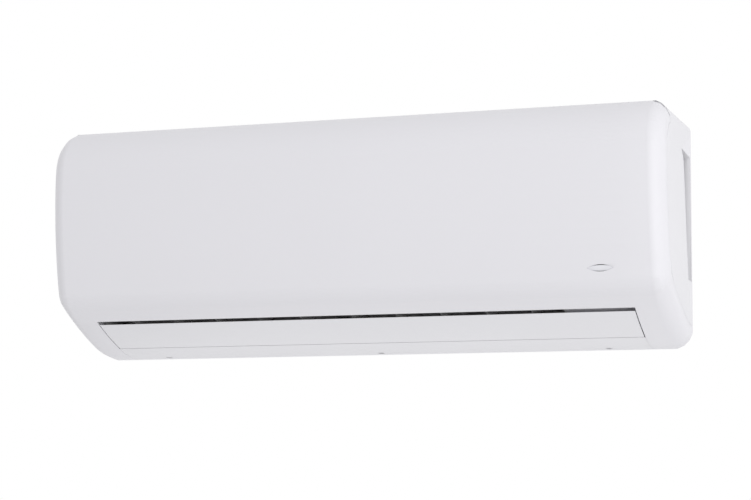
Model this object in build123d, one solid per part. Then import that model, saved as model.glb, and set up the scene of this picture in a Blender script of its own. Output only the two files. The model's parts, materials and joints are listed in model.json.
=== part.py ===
from build123d import *
from math import asin, cos, degrees, radians, sin, tan
import os

# Wall-hung indoor unit of a split air conditioner, as its separate pieces.
# X runs along the unit, to the right seen from the front. The front looks along -Y and the wall
# is the plane y = 0. Everything is drawn with z measured from the underside, and save() brings
# the origin to the back of the wall plate, halfway along and halfway up.

os.makedirs("parts", exist_ok=True)

# ---------------------------------------------------------------- overall form
length = 805.0
height = 285.0
depth = 194.0
half_length = length / 2
side_draft = 4.0  # each side leans in by this much from the wall to the front
top_radius = 60.0
bend_radius = 35.0  # where the front turns under towards the outlet
heel_radius = 190.0
heel_y = -5.0  # where the underside runs out level, just short of the wall
bend_start = 107.0  # directions that the skin faces, in degrees from straight up
bend_end = 152.0
outlet_end = 164.0
end_round = 25.0  # where the top, the front and the outlet turn into the ends
rear_round = 9.0  # the same at the wall
hollow_round = end_round + 3  # the same inside the casing's front, with one flat instead of three
wide_half = tan(radians(22.5))
narrow_half = tan(radians(11.25))

# ---------------------------------------------------------------- walls and gaps
panel_wall = 2.5
panel_gap = 2.0  # front panel to the casing behind it
casing_wall = 2.2
chassis_wall = 2.5
sheet = 1.2  # steel of the wall plate
coil_sheet = 1.0  # end plates of the heat exchanger
seam_gap = 0.8
seat = 0.2  # pieces that rest against each other
running = 0.07  # a pin in its bore
fit_gap = 0.3
casing_back = -1.5  # the casing stops short of the wall
round_sides = 16  # flats that stand for a circle on small pieces
small_sides = 8

# ---------------------------------------------------------------- front panel
panel_wrap = 27.0  # how far the panel's ends reach back along the sides
panel_top_angle = 15.5
hinge_angle = 17.5
hinge_inset = 7.0
hinge_pin = 2.0
hinge_ear = 3.4
hinge_ear_width = 3.5
hinge_places = (-half_length + 72.5, half_length - 72.5)
hinge_sweep = 8.0  # radius that the panel's top edge needs round the hinge

# ---------------------------------------------------------------- louver and its mouth
mouth_half = half_length - 49.0
louver_half = mouth_half - 1.4
slit_back = 21.3  # from the end of the front's bend to the panel's lower edge
slit_width = 7.0
louver_edge = 2.4
louver_taper = 5.0  # the front edge thins out over this distance
louver_belly = 5.6
pivot_rise = 9.8  # the louver's pivot above its own skin
louver_sweep = 15.7  # radius kept free behind the pivot
louver_pin = 2.5
louver_ear = 5.0
louver_ear_width = 2.5
cheek_wall = 2.2
cheek_top = 46.0

# ---------------------------------------------------------------- crossflow fan
duct_left = -half_length + 51.8  # outer face of the left end wall
duct_right = half_length - 139.3  # inner face of the right end wall
middle_x = (duct_left + duct_right) / 2  # between the two sets of vanes
fan_radius = depth / 4 - 3.5
fan_y = -depth + 2 * fan_radius + 16.0
fan_z = 112.0
fan_left = duct_left + 7.7
fan_right = duct_right - 5.2
fan_sections = 3
fan_disc = 2.4
blade_count = 12
blade_inner = fan_radius - 11.5
blade_thick = 1.6
blade_sweep = -15.0  # degrees from a blade's root to its tip
hub_radius = 14.0
shaft_radius = 4.0

# ---------------------------------------------------------------- motor
motor_radius = fan_radius - 7.0
motor_left = duct_right + 8.8
motor_right = motor_left + 58.0
motor_nose = 12.0

# ---------------------------------------------------------------- chassis
back_plate_y = -8.5
back_plate_low = 96.0
back_plate_high = height - 17.0
chassis_half = half_length - 13.5
gutter_z = 156.0  # under the rear part of the heat exchanger
gutter_lip_y = -64.0
scroll_gap = 9.0  # between the fan and the wall behind it
web_places = (-300.0, -200.0, -100.0, 0.0, 200.0)
cradle_places = (motor_left + 25.0, motor_left + 46.0)
cradle_width = 4.0
cradle_post_y = -27.0
floor_inset = 2.8
floor_right = half_length - 52.5
end_wall_inset = 9.0
end_wall_top = height - 30.0
end_wall_fronts = (-depth + 32.0, -depth + 63.0)

# ---------------------------------------------------------------- heat exchanger
fin_pack = 24.0
fin_groove = 1.2
fin_groove_count = 9
coil_left = duct_left + 3.7
coil_right = duct_right - 1.4
coil_top = height - 45.0
front_lower_line = ((-0.742 * depth, 73.0), (-0.809 * depth, 148.0))
front_upper_line = ((-0.804 * depth, 160.0), (-0.505 * depth, coil_top))
rear_line = ((-0.389 * depth, coil_top), (-40.0, 182.0))
plate_margin = 1.0  # the end plates stand out this far in front of and behind the fins
bend_tube = 3.5
bend_pitch = 11.0  # half the distance between the ends of a hairpin bend
bend_reach = 13.0
bend_places = (0.21, 0.79)

# ---------------------------------------------------------------- pipework
gas_pipe = 4.76
liquid_pipe = 3.18
gas_thread = 7.94
liquid_thread = 5.56
gas_y = -26.0
gas_z = 47.0
liquid_y = -15.0
liquid_z = 22.0
pipe_corner = 9.0
riser_x = duct_right + 19.8  # where the pipes come down behind the fan motor
riser_z = 150.0
coil_port = 0.5  # how far along the rear fins the pipes leave them
gas_offset = -4.0  # across the fins' thickness
liquid_offset = 7.0
gas_end_x = -length / 4
liquid_end_x = gas_end_x + 50.0
union_hex = 10.0
union_body = 10.0
thread_length = 12.0
clamp_x = 120.0
clamp_width = 18.0

# ---------------------------------------------------------------- drain
pan_inset = 7.1
pan_wall = 1.8
pan_start = 106.5
pan_lip_turn = 215.0  # where the pan's rear wall comes nearest to the fan
drain_bore = 6.0
drain_radius = 8.0
spare_radius = 7.0  # the second outlet, under its rubber cap
drain_wall = 1.0
drain_length = 16.0
drain_y = -41.0
drain_z = 22.0
cap_wall = 2.0

# ---------------------------------------------------------------- vanes
vane_count = 5  # in each set
vane_pitch = (duct_right - duct_left) / (2 * vane_count + 0.6)
vane_axis_z = 50.0
vane_thick = 1.6
vane_pin = 1.6
link_arm = 8.5  # link pin above the vane's pivot
link_pin = 1.2
link_y = -68.0
link_width = 4.0
rail_depth = 4.6
rail_height = 14.0

# ---------------------------------------------------------------- filters
filter_inset = 11.0
filter_thick = 2.5
filter_net = 0.5
filter_top = height - 26.0
filter_turn = top_radius - 26.0
filter_turn_y = -depth + filter_inset + filter_turn
filter_back_y = -40.0
filter_low_angle = 105.0
filter_bar = 7.0
filter_columns = 3
filter_ends = (-half_length + 69.5, half_length - 136.5)
filter_middle = sum(filter_ends) / 2
filter_spans = ((filter_ends[0], filter_middle - 3.5), (filter_middle + 3.5, filter_ends[1]))

# ---------------------------------------------------------------- top grille
grille_thick = 3.4
grille_x = (-half_length + 64.5, half_length - 126.5)
grille_y = (-depth + 66.0, -30.0)
grille_ledge = 4.0
grille_rows = 7
grille_columns = 6
grille_slot = 8.0
grille_bar = 6.0

# ---------------------------------------------------------------- windows of the casing
window_low = 97.0
window_high = height - 27.0
window_margin = 2.0
front_zone = (-depth, -depth + 44.0)  # what a cut through the casing's front may reach

# ---------------------------------------------------------------- electrics
box_x = (half_length - 110.5, half_length - 16.5)
box_z = (92.0, height - 39.0)
box_depth = 26.0
box_back_y = fan_y - motor_radius - 8.0
box_front_y = box_back_y - box_depth
box_wall = 2.0
cover_thick = 1.8
post_radius = 3.0
post_height = 9.0
board_thick = 1.6
board_margin = 7.0
terminal_height = 18.0
terminal_span = 50.0
button_x = half_length - 57.5
button_z = 128.0
button_radius = 3.5
button_travel = 1.2

# ---------------------------------------------------------------- receiver window
lens_x = half_length - 82.5
lens_z = 78.0
lens_half = 16.0
lens_rise = 4.0
display_size = (44.0, 20.0)

# ---------------------------------------------------------------- side finger scoop
scoop_low = 83.0
scoop_high = height - 44.0
scoop_back_y = -7.0
scoop_front_low_y = -36.0
scoop_front_high_y = -68.0
scoop_slope = 0.133

# ---------------------------------------------------------------- wall plate
plate_x = (-half_length + 162.5, half_length - 162.5)
plate_z = (62.0, height - 23.0)
plate_bolts = (length - 405.0, height - 135.0)
plate_hole = 2.75
plate_corner = 12.0
hook_top_x = (-170.0, 0.0, 170.0)
hook_low_x = (-130.0, 130.0)
hook_width = 22.0
hook_reach = 10.6
hook_top_z = back_plate_high - 22.0
hook_rise = 5.0

# ---------------------------------------------------------------- screws
screw_shank = 1.75
screw_head = 3.9
screw_head_thick = 1.8
screw_places = (-half_length + 102.5, 0.0, half_length - 102.5)
screw_y = -17.0
screw_seat = 4.2  # the casing's cup holds the head at this height
cup_radius = 6.2
screw_boss = 8.5
screw_boss_top = 18.0


# ================================================================ shared shapes
def save(name, shape):
    """Writes one piece, with the origin moved to the middle of the wall plate."""
    export_step(Pos(0, 0, -height / 2) * shape, "parts/" + name + ".step")


def block(x_span, y_span, z_span):
    """A plain block between two values on each axis."""
    size = [abs(span[1] - span[0]) for span in (x_span, y_span, z_span)]
    middle = [(span[0] + span[1]) / 2 for span in (x_span, y_span, z_span)]
    return Pos(*middle) * Box(*size)


def prism(points, x_span):
    """A straight-sided outline in (y, z), drawn out along X."""
    line = Polyline(*[(x_span[0], y, z) for y, z in points], close=True)
    return extrude(make_face(line), amount=x_span[1] - x_span[0], dir=(1, 0, 0))


def rod_x(y, z, radius, x_span):
    """A round bar along X."""
    return Pos(sum(x_span) / 2, y, z) * Rot(0, 90, 0) * Cylinder(radius, abs(x_span[1] - x_span[0]))


def rod_y(x, z, radius, y_span):
    """A round bar along Y."""
    return Pos(x, sum(y_span) / 2, z) * Rot(90, 0, 0) * Cylinder(radius, abs(y_span[1] - y_span[0]))


def flatted(radius, span, sides, grown=False):
    """A bar with flats, standing on z. Its corners reach the radius, or its flats if grown."""
    corner = radius / cos(radians(180 / sides)) if grown else radius
    bar = extrude(RegularPolygon(corner, sides), amount=span[1] - span[0])
    return Pos(0, 0, span[0]) * bar


def bar_x(y, z, radius, x_span, sides=small_sides, grown=False):
    """A bar along X with flats."""
    return Pos(0, y, z) * Rot(0, 90, 0) * flatted(radius, x_span, sides, grown)


def bar_y(x, z, radius, y_span, sides=small_sides, grown=False):
    """A bar along Y with flats."""
    return Pos(x, 0, z) * Rot(-90, 0, 0) * flatted(radius, y_span, sides, grown)


def bar_z(x, y, radius, z_span, sides=small_sides, grown=False):
    """A bar along Z with flats."""
    return Pos(x, y, 0) * flatted(radius, z_span, sides, grown)


def mirrored(shape):
    """The shape and its mirror image at the other end of the unit."""
    return shape + mirror(shape, about=Plane.YZ)


def joined(shapes):
    """All the shapes as one."""
    shapes = list(shapes)
    return shapes[0] + shapes[1:]


# ================================================================ the outer skin
def facing(angle):
    """Unit direction (y, z) that lies at an angle from straight up, turning to the front."""
    return -sin(radians(angle)), cos(radians(angle))


def fall(start, end):
    """How far down an arc of radius 1 runs between two facing angles."""
    return cos(radians(start)) - cos(radians(end))


def retreat(start, end):
    """How far back to the wall an arc of radius 1 runs between two facing angles."""
    return sin(radians(start)) - sin(radians(end))


def free_radii():
    """Radii of the front and of the outlet's curve that meet the height and the depth."""
    down = height - top_radius - bend_radius * fall(bend_start, bend_end)
    down -= heel_radius * fall(outlet_end, 180)
    back = heel_y + depth - bend_radius * retreat(bend_start, bend_end)
    back -= heel_radius * retreat(outlet_end, 180)
    face_fall, face_back = fall(90, bend_start), retreat(90, bend_start)
    outlet_fall, outlet_back = fall(bend_end, outlet_end), retreat(bend_end, outlet_end)
    share = face_fall * outlet_back - face_back * outlet_fall
    face = (down * outlet_back - back * outlet_fall) / share
    return face, (face_fall * back - face_back * down) / share


face_radius, outlet_radius = free_radii()
SKIN = (
    (top_radius, 0, 90),
    (face_radius, 90, bend_start),
    (bend_radius, bend_start, bend_end),
    (outlet_radius, bend_end, outlet_end),
    (heel_radius, outlet_end, 180),
)


def arc_centres():
    """Centre of each arc of the skin. Each arc leaves the one before it without a kink."""
    centres = [(-depth + top_radius, height - top_radius)]
    for (radius, _, end), (following, _, _) in zip(SKIN, SKIN[1:]):
        y, z = centres[-1]
        out_y, out_z = facing(end)
        centres.append((y + (radius - following) * out_y, z + (radius - following) * out_z))
    return centres


CENTRES = arc_centres()


def skin_point(angle, inset=0.0):
    """The point (y, z) of the skin that faces an angle, drawn in by inset."""
    for (radius, _, end), (y, z) in zip(SKIN, CENTRES):
        if angle <= end:
            break
    out_y, out_z = facing(angle)
    return y + (radius - inset) * out_y, z + (radius - inset) * out_z


def outlet_facing(y):
    """The angle that the outlet's curve faces at a given y."""
    return 180 - degrees(asin((CENTRES[3][0] - y) / outlet_radius))


def outlet_z(y):
    """Height of the outlet's curve at a given y."""
    return skin_point(outlet_facing(y))[1]


def face_facing(z):
    """The angle that the front's long curve faces at a given z."""
    return 90 + degrees(asin((CENTRES[1][1] - z) / face_radius))


def skin_arcs(inset, start, end):
    """The skin's arcs between two facing angles, as edges in the plane x = 0."""
    edges = []
    for _, low, high in SKIN:
        first, last = max(low, start), min(high, end)
        if last - first > 1e-6:
            stops = (first, (first + last) / 2, last)
            edges.append(ThreePointArc(*[(0, *skin_point(stop, inset)) for stop in stops]))
    return edges


def outline(inset, back=0.0):
    """The unit's closed section, drawn in by inset, with its back on the plane y = back."""
    top, low = skin_point(0, inset), skin_point(180, inset)
    edges = [Line((0, back, top[1]), (0, *top))] + skin_arcs(inset, 0, 180)
    edges += [Line((0, *low), (0, back, low[1])), Line((0, back, low[1]), (0, back, top[1]))]
    return make_face(edges)


def full_width(inset, back=0.0):
    """The section drawn out past both ends of the unit."""
    return extrude(outline(inset, back), amount=half_length + 1, dir=(1, 0, 0), both=True)


def side_x(y, inset=0.0):
    """Where the right side's plane stands at a given y."""
    return half_length - inset + y * side_draft / depth


def body_block(inset, back=0.0):
    """The unit's form drawn in by inset, with its ends leaning in to the front."""
    wall, front = side_x(0, inset), side_x(-depth, inset)
    corners = ((wall, 0), (front, -depth), (-front, -depth), (-wall, 0))
    tail = ((-wall, 10.0), (wall, 10.0))
    plan = make_face(Polyline(*[(x, y, 0) for x, y in corners + tail], close=True))
    return full_width(inset, back) & extrude(plan, amount=height, dir=(0, 0, 1))


def cornered_block(inset, radius, back=0.0):
    """The unit's form drawn in by inset, with a flat at 45 degrees that touches each end's arc."""
    form = body_block(inset, back)
    ends = form.faces().sort_by(Axis.X)
    rims = [edge for end in (ends[0], ends[-1]) for edge in end.edges()]
    front_rims = [edge for edge in rims if edge.bounding_box().min.Y < back - 1]
    return chamfer(front_rims, radius * (1 - wide_half))


def rounded_block(inset, back=0.0):
    """The unit's form drawn in by inset, with its end edges rounded by three flats."""
    radius = end_round - inset
    form = cornered_block(inset, radius, back)
    first = radius * (1 - wide_half)
    corners = []
    for edge in form.edges():
        middle, box = edge @ 0.5, edge.bounding_box()
        from_side = side_x(middle.Y, inset) - abs(middle.X)
        on_flat = min(abs(from_side), abs(from_side - first)) < 0.15
        if on_flat and abs(middle.X) > length / 4 and box.min.Y < back - 1:
            corners.append(edge)
    return chamfer(corners, radius * (wide_half - narrow_half))


def shoulders(inset):
    """What rounds the casing's upper end edges, by three flats that widen towards the front."""
    first, step = 1 - wide_half, (wide_half - narrow_half) * sin(radians(45))
    flats = ((1 - narrow_half, 0.0), (first - step, step), (step, first - step), (0.0, 1 - narrow_half))
    faces = []
    for y in (10.0, -depth):
        radius = rear_round + (end_round - rear_round) * y / skin_point(panel_top_angle)[0] - inset
        side, top = side_x(y, inset), height - inset
        points = [(side - across * radius, top - down * radius) for down, across in flats]
        points = [(side + 3, points[0][1])] + points + [(points[-1][0], top + 3), (side + 3, top + 3)]
        faces.append(make_face(Polyline(*[(x, y, z) for x, z in points], close=True)))
    return mirrored(loft(faces, ruled=True))


def band(outer_inset, inner_inset, start, end, x_span):
    """A strip of wall that follows the skin between two facing angles."""
    edges = skin_arcs(outer_inset, start, end) + skin_arcs(inner_inset, start, end)
    for angle in (start, end):
        ends = [(0, *skin_point(angle, inset)) for inset in (outer_inset, inner_inset)]
        edges.append(Line(*ends))
    strip = extrude(make_face(edges), amount=x_span[1] - x_span[0], dir=(1, 0, 0))
    return Pos(x_span[0], 0, 0) * strip


def past_normal(angle, deep, corner_z, x_half, shift=0.0):
    """All that lies behind a cut square to the skin, moved along the skin by shift."""
    along_y, along_z = cos(radians(angle)) * shift, sin(radians(angle)) * shift
    cut = (skin_point(angle, -8.0), skin_point(angle, deep))
    points = [(y + along_y, z + along_z) for y, z in cut]
    points += [(20.0, points[1][1]), (20.0, corner_z), (points[0][0], corner_z)]
    return prism(points, (-x_half, x_half))


# ---------------------------------------------------------------- places that follow the skin
hinge_y, hinge_z = skin_point(hinge_angle, hinge_inset)
top_cut = past_normal(panel_top_angle, 60.0, height + 10, length)
slit_y = skin_point(bend_end)[0] + slit_back  # lower edge of the front panel
slit_angle = outlet_facing(slit_y)
flange_y = slit_y + 2.0  # lower edge of the casing's front wall
louver_front_y = slit_y + slit_width
louver_rear_y = skin_point(outlet_end)[0] - 4.1
pivot_y = louver_rear_y - 8.5
pivot_z = outlet_z(pivot_y) + pivot_rise
duct_rear_y = louver_rear_y + 7.5
vane_rear_y = duct_rear_y - seat - rail_depth - fit_gap


# ================================================================ front panel
def panel_lug(x):
    """Lug behind the panel's top edge, with the pin that it turns on."""
    outward = 1 if x > 0 else -1
    lug_span = (x - hinge_ear_width / 2, x + hinge_ear_width / 2)
    far = x + outward * (hinge_ear_width / 2 + seat * 2 + hinge_ear_width + 1)
    lug = bar_x(hinge_y, hinge_z, hinge_ear, lug_span)
    neck = band(panel_wall / 2, hinge_inset, hinge_angle, hinge_angle + 4, lug_span)
    pin = tuple(sorted((x, far)))
    return lug + neck + bar_x(hinge_y, hinge_z, hinge_pin, pin, round_sides)


def lens_shape(grow, y_span):
    """The eye-shaped outline of the receiver window, as a prism along Y."""
    half, rise = lens_half + grow, lens_rise + grow
    upper = ThreePointArc((-half, 0, 0), (0, 0, rise), (half, 0, 0))
    lower = ThreePointArc((half, 0, 0), (0, 0, -rise), (-half, 0, 0))
    solid = extrude(make_face([upper, lower]), amount=y_span[1] - y_span[0], dir=(0, 1, 0))
    return Pos(lens_x, y_span[0], lens_z) * solid


def make_front_panel():
    """One skin over the front, round both ends and down beside the outlet."""
    outer = rounded_block(0.0)
    inner = rounded_block(panel_wall, 5.0)
    panel = outer - inner - full_width(panel_wrap, 10.0) - top_cut
    panel -= past_normal(slit_angle, 30.0, -10.0, mouth_half)
    panel -= block((-length, length), (casing_back, 20.0), (-20.0, height + 20))
    panel -= lens_shape(seat, (-depth, -depth / 2))
    return panel + [panel_lug(x) for x in hinge_places]


def make_receiver_window():
    """A lens that fills its hole and stands flush with the panel."""
    angle = face_facing(lens_z)
    spread = 4.0
    span = (lens_x - lens_half, lens_x + lens_half)
    skin = band(0.0, panel_wall, angle - spread, angle + spread, span)
    flange = band(panel_wall, panel_wall + 0.9, angle - 0.9, angle + 0.9, (span[0] - 2, span[1] + 2))
    return (skin & lens_shape(0.0, (-depth, -depth / 2))) + flange


# ================================================================ front casing
behind_panel = panel_wall + panel_gap


def casing_mask(shrink):
    """Where the casing is flush with the skin: behind the panel's seam and over the top."""
    sides = full_width(panel_wrap + seam_gap + shrink, 10.0)
    return sides + past_normal(panel_top_angle, top_radius, height + 10, length, seam_gap + shrink)


def scoop(grow):
    """Finger scoop in the right side: it deepens towards the wall and ends square."""
    faces = []
    for z, front in ((scoop_low - grow, scoop_front_low_y), (scoop_high + grow, scoop_front_high_y)):
        start = front - grow / scoop_slope
        end = scoop_back_y + grow
        deep = (end - start) * scoop_slope
        side = half_length + 2
        corners = ((side, start), (side_x(start), start), (side_x(end) - deep, end), (side, end))
        faces.append(make_face(Polyline(*[(x, y, z) for x, y in corners], close=True)))
    return loft(faces, ruled=True)


def mouth_filler():
    """Closes the mouth beside the air duct, above the louver's right end."""
    span = (duct_right + chassis_wall + fit_gap, mouth_half + 1)
    roof = band(9.0, 11.0, outlet_facing(flange_y), outlet_facing(pivot_y - louver_sweep), span)
    inside = full_width(behind_panel) + block((0, mouth_half - 2 * seat), (-depth, 0), (-1, 60))
    trough = rod_x(pivot_y, pivot_z, louver_sweep + casing_wall, span) & full_width(0.0)
    trough -= block(span, (pivot_y - 30, pivot_y + 5), (-5.0, pivot_z + 5))
    return ((roof + trough) & inside) - rod_x(pivot_y, pivot_z, louver_sweep, span)


def lip_riser():
    """Joins the flush strip under the louver to the shell behind the panel's side lobes."""
    y_span, z_span = (louver_rear_y, casing_back), (-1, 14)
    inner = mouth_half - 2 * seat - casing_wall
    flush = full_width(0.0) & block((inner, mouth_half - 2 * seat), y_span, z_span)
    covered = full_width(behind_panel) & block((inner, mouth_half + cheek_wall), y_span, z_span)
    return (flush + covered) - full_width(behind_panel + casing_wall, 10.0)


def casing_outer():
    """Outside of the casing: flush behind the seam, drawn in where the panel covers it."""
    rear = (cornered_block(0.0, rear_round, casing_back) - shoulders(0.0)) & casing_mask(0.0)
    front = rounded_block(behind_panel, casing_back)
    strip = block((-mouth_half + seat * 2, mouth_half - seat * 2), (louver_rear_y - 6, 0), (-1, 30))
    return rear + front + (full_width(0, casing_back) & strip)


def casing_inner():
    """The hollow of the casing."""
    covered_wall = behind_panel + casing_wall
    covered = cornered_block(covered_wall, hollow_round - covered_wall, 10.0)
    rear = cornered_block(casing_wall, rear_round, 10.0) - shoulders(casing_wall)
    rear &= casing_mask(casing_wall)
    strip = block((-mouth_half, mouth_half), (louver_rear_y - 6, 10), (-1, 30))
    return covered + rear + (full_width(casing_wall, 10.0) & strip)


def casing_cheek():
    """Wall at the right end of the mouth, down to the skin that the panel covers."""
    span = (mouth_half, mouth_half + cheek_wall)
    zone = block(span, (slit_y - 4, louver_rear_y + 10), (-1, cheek_top))
    return full_width(behind_panel, casing_back) & zone


def hinge_ear_at(x):
    """Ear inside the hinge trough that holds one of the panel's pins."""
    outward = 1 if x > 0 else -1
    near = x + outward * (hinge_ear_width / 2 + seat * 2)
    span = tuple(sorted((near, near + outward * hinge_ear_width)))
    low, e = hinge_z - hinge_sweep - 1, hinge_ear
    half = [(e, low), (e, hinge_z + e / 2), (e / 2, hinge_z + e)]
    ear = prism([(hinge_y + y, z) for y, z in half + [(-y, z) for y, z in half[::-1]]], span)
    return ear - bar_x(hinge_y, hinge_z, hinge_pin + running, span, round_sides, grown=True)


def filter_ledge(x):
    """Small ledge that a filter stands on, inside the casing's front."""
    low = filter_low_angle + 0.1
    outer, inner = behind_panel + casing_wall / 2, filter_inset + filter_thick
    return band(outer, inner, low, low + 0.3, (x - 8, x + 8))


def make_front_casing():
    """The outer case, screwed to the chassis, with the filters' windows and the mouth."""
    outer = casing_outer()
    casing = outer - casing_inner()
    # The trough that the panel's top edge turns in, closed at both ends.
    end = side_x(hinge_y) - hinge_inset
    walled, web_y = (-end - casing_wall, end + casing_wall), hinge_y + hinge_sweep
    trough = rod_x(hinge_y, hinge_z, hinge_sweep + casing_wall, walled)
    trough += block(walled, (web_y, web_y + casing_wall), (hinge_z, height))
    casing += trough & outer
    casing -= rod_x(hinge_y, hinge_z, hinge_sweep, (-end, end))
    casing += [hinge_ear_at(x) for x in hinge_places]
    # The windows that the filters stand behind.
    for span in filter_spans:
        window = (span[0] + window_margin, span[1] - window_margin)
        casing -= block(window, front_zone, (window_low, window_high))
    # The mouth, with a cheek at each end and a filler beside the duct.
    mouth = past_normal(outlet_facing(flange_y), 30.0, -10.0, mouth_half)
    mouth -= block((-length, length), (louver_rear_y - 1, 40), (-20, 60))
    casing -= mouth
    casing += mirrored(casing_cheek() + lip_riser()) + mouth_filler()
    casing -= rod_x(pivot_y, pivot_z, louver_sweep, (-mouth_half, mouth_half))
    bore = (-mouth_half - 5, mouth_half + 5)
    casing -= bar_x(pivot_y, pivot_z, louver_pin + running, bore, round_sides, grown=True)
    # The rim and opening of the top inlet.
    rim = [(span[0] - 6, span[1] + 6) for span in (grille_x, grille_y)]
    hole = [(span[0] + grille_ledge, span[1] - grille_ledge) for span in (grille_x, grille_y)]
    recess = [(span[0] - fit_gap, span[1] + fit_gap) for span in (grille_x, grille_y)]
    casing += block(rim[0], rim[1], (height - grille_thick - 2.5, height - casing_wall / 2))
    casing -= block(hole[0], hole[1], (height - 12, height + 5))
    casing -= block(recess[0], recess[1], (height - grille_thick, height + 5))
    # Finger scoops in both sides, each with its own wall behind it.
    pocket = (scoop(casing_wall) & body_block(0.0, casing_back)) - scoop(0.0)
    casing = (casing - mirrored(scoop(0.0))) + mirrored(pocket)
    # Openings for the receiver, the manual button and the screws.
    casing -= block((lens_x - 19, lens_x + 19), front_zone, (lens_z - 8, lens_z + 8))
    casing -= bar_y(button_x, button_z, button_radius + fit_gap, front_zone, round_sides, grown=True)
    for x in screw_places:
        casing += bar_z(x, screw_y, cup_radius, (casing_wall / 2, screw_seat + casing_wall))
        casing -= bar_z(x, screw_y, screw_head + fit_gap, (-5, screw_seat), grown=True)
        casing -= bar_z(x, screw_y, screw_shank + fit_gap, (0, screw_seat + 5), grown=True)
    return casing + [filter_ledge(x) for span in filter_spans for x in (span[0] + 30, span[1] - 30)]


# ================================================================ top inlet grille
def make_top_grille():
    """A flat grille over the air inlet, in rows of slots."""
    slots = []
    step_x = (grille_x[1] - grille_x[0] - 2 * grille_bar) / grille_columns
    step_y = (grille_y[1] - grille_y[0] - 2 * grille_bar) / grille_rows
    for column in range(grille_columns):
        start = grille_x[0] + grille_bar + column * step_x
        for row in range(grille_rows):
            middle = grille_y[0] + grille_bar + (row + 0.5) * step_y
            y_span = (middle - grille_slot / 2, middle + grille_slot / 2)
            slots.append(block((start + 2, start + step_x - 2), y_span, (height - 9, height + 5)))
    return block(grille_x, grille_y, (height - grille_thick, height)) - slots


# ================================================================ louver
def louver_arm(x_span):
    """An ear on the louver's inner face that reaches up to its pivot."""
    foot = [(y, outlet_z(y) + louver_edge / 2) for y in (pivot_y - 8, pivot_y + 5)]
    crown = [(pivot_y + louver_ear, pivot_z), (pivot_y + 3, pivot_z + louver_ear - 1)]
    crown += [(pivot_y - 3, pivot_z + louver_ear - 1), (pivot_y - louver_ear, pivot_z)]
    return prism(foot + crown, x_span)


def make_louver():
    """The long blade that closes the outlet, with its pivots on its inner face."""
    start, end = outlet_facing(louver_front_y), outlet_facing(louver_rear_y)
    middle = (start + end) / 2
    front = skin_point(outlet_facing(louver_front_y + louver_taper), louver_edge)
    rear = skin_point(end, louver_edge)
    belly = skin_point(middle, louver_belly)
    edges = skin_arcs(0.0, start, end)
    edges += [Line((0, *skin_point(end)), (0, *rear)), Line((0, *front), (0, *skin_point(start)))]
    edges.append(ThreePointArc((0, *rear), (0, *belly), (0, *front)))
    louver = extrude(make_face(edges), amount=louver_half, dir=(1, 0, 0), both=True)
    support_half = louver_ear_width / 2 + fit_gap
    for side in (-1, 1):
        near = middle_x + side * support_half
        louver += louver_arm(tuple(sorted((near, near + side * louver_ear_width))))
    bridge = (middle_x - support_half - 1, middle_x + support_half + 1)
    louver += bar_x(pivot_y, pivot_z, louver_pin - 0.5, bridge, round_sides)
    louver += louver_arm((-louver_half + 1, -louver_half + 1 + louver_ear_width))
    pin = (-mouth_half - cheek_wall - 1, -louver_half + 2)
    louver += bar_x(pivot_y, pivot_z, louver_pin, pin, round_sides)
    socket = (louver_half - 1 - 2 * louver_ear_width, louver_half - 1)
    louver += louver_arm(socket)
    return louver - bar_x(pivot_y, pivot_z, louver_pin, socket, round_sides)


def make_louver_motor_shaft():
    """The shaft that the motor drives the louver with."""
    span = (louver_half - 1 - 2 * louver_ear_width, mouth_half + 14)
    return bar_x(pivot_y, pivot_z, louver_pin, span, round_sides)


def make_louver_motor():
    """Small geared stepper motor: its shaft leaves it off centre."""
    body_z = pivot_z + 9
    start = mouth_half + cheek_wall + seat
    motor = bar_x(pivot_y, body_z, 11.0, (start, start + 16), round_sides)
    motor += block((start, start + 1), (pivot_y - 16, pivot_y + 16), (body_z - 3.5, body_z + 3.5))
    motor += block((start + 3, start + 14), (pivot_y - 6, pivot_y + 6), (body_z + 6, body_z + 15))
    return motor - bar_x(pivot_y, pivot_z, louver_pin + fit_gap, (start - 1, mouth_half + 15))


def make_louver_support():
    """Bracket on the duct's rear wall that carries the middle of the louver."""
    half = louver_ear_width / 2
    span = (middle_x - half, middle_x + half)
    arm_low = pivot_z + louver_sweep + 1
    arm = block(span, (pivot_y - 3.6, duct_rear_y - seat), (arm_low, arm_low + 5))
    leg = block(span, (pivot_y - 3.6, pivot_y + 3.6), (pivot_z - 3.0, arm_low + 1))
    foot_span = (duct_rear_y - seat - 1.6, duct_rear_y - seat)
    foot = block((middle_x - 8, middle_x + 8), foot_span, (arm_low, arm_low + 5))
    eye = louver_pin - 0.5 + running
    return (arm + leg + foot) - bar_x(pivot_y, pivot_z, eye, span, round_sides, grown=True)


# ================================================================ rear chassis
def from_fan(angle, radius):
    """A point (y, z) round the fan's axis, its angle counted from the wall side upwards."""
    return fan_y + radius * cos(radians(angle)), fan_z + radius * sin(radians(angle))


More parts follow.
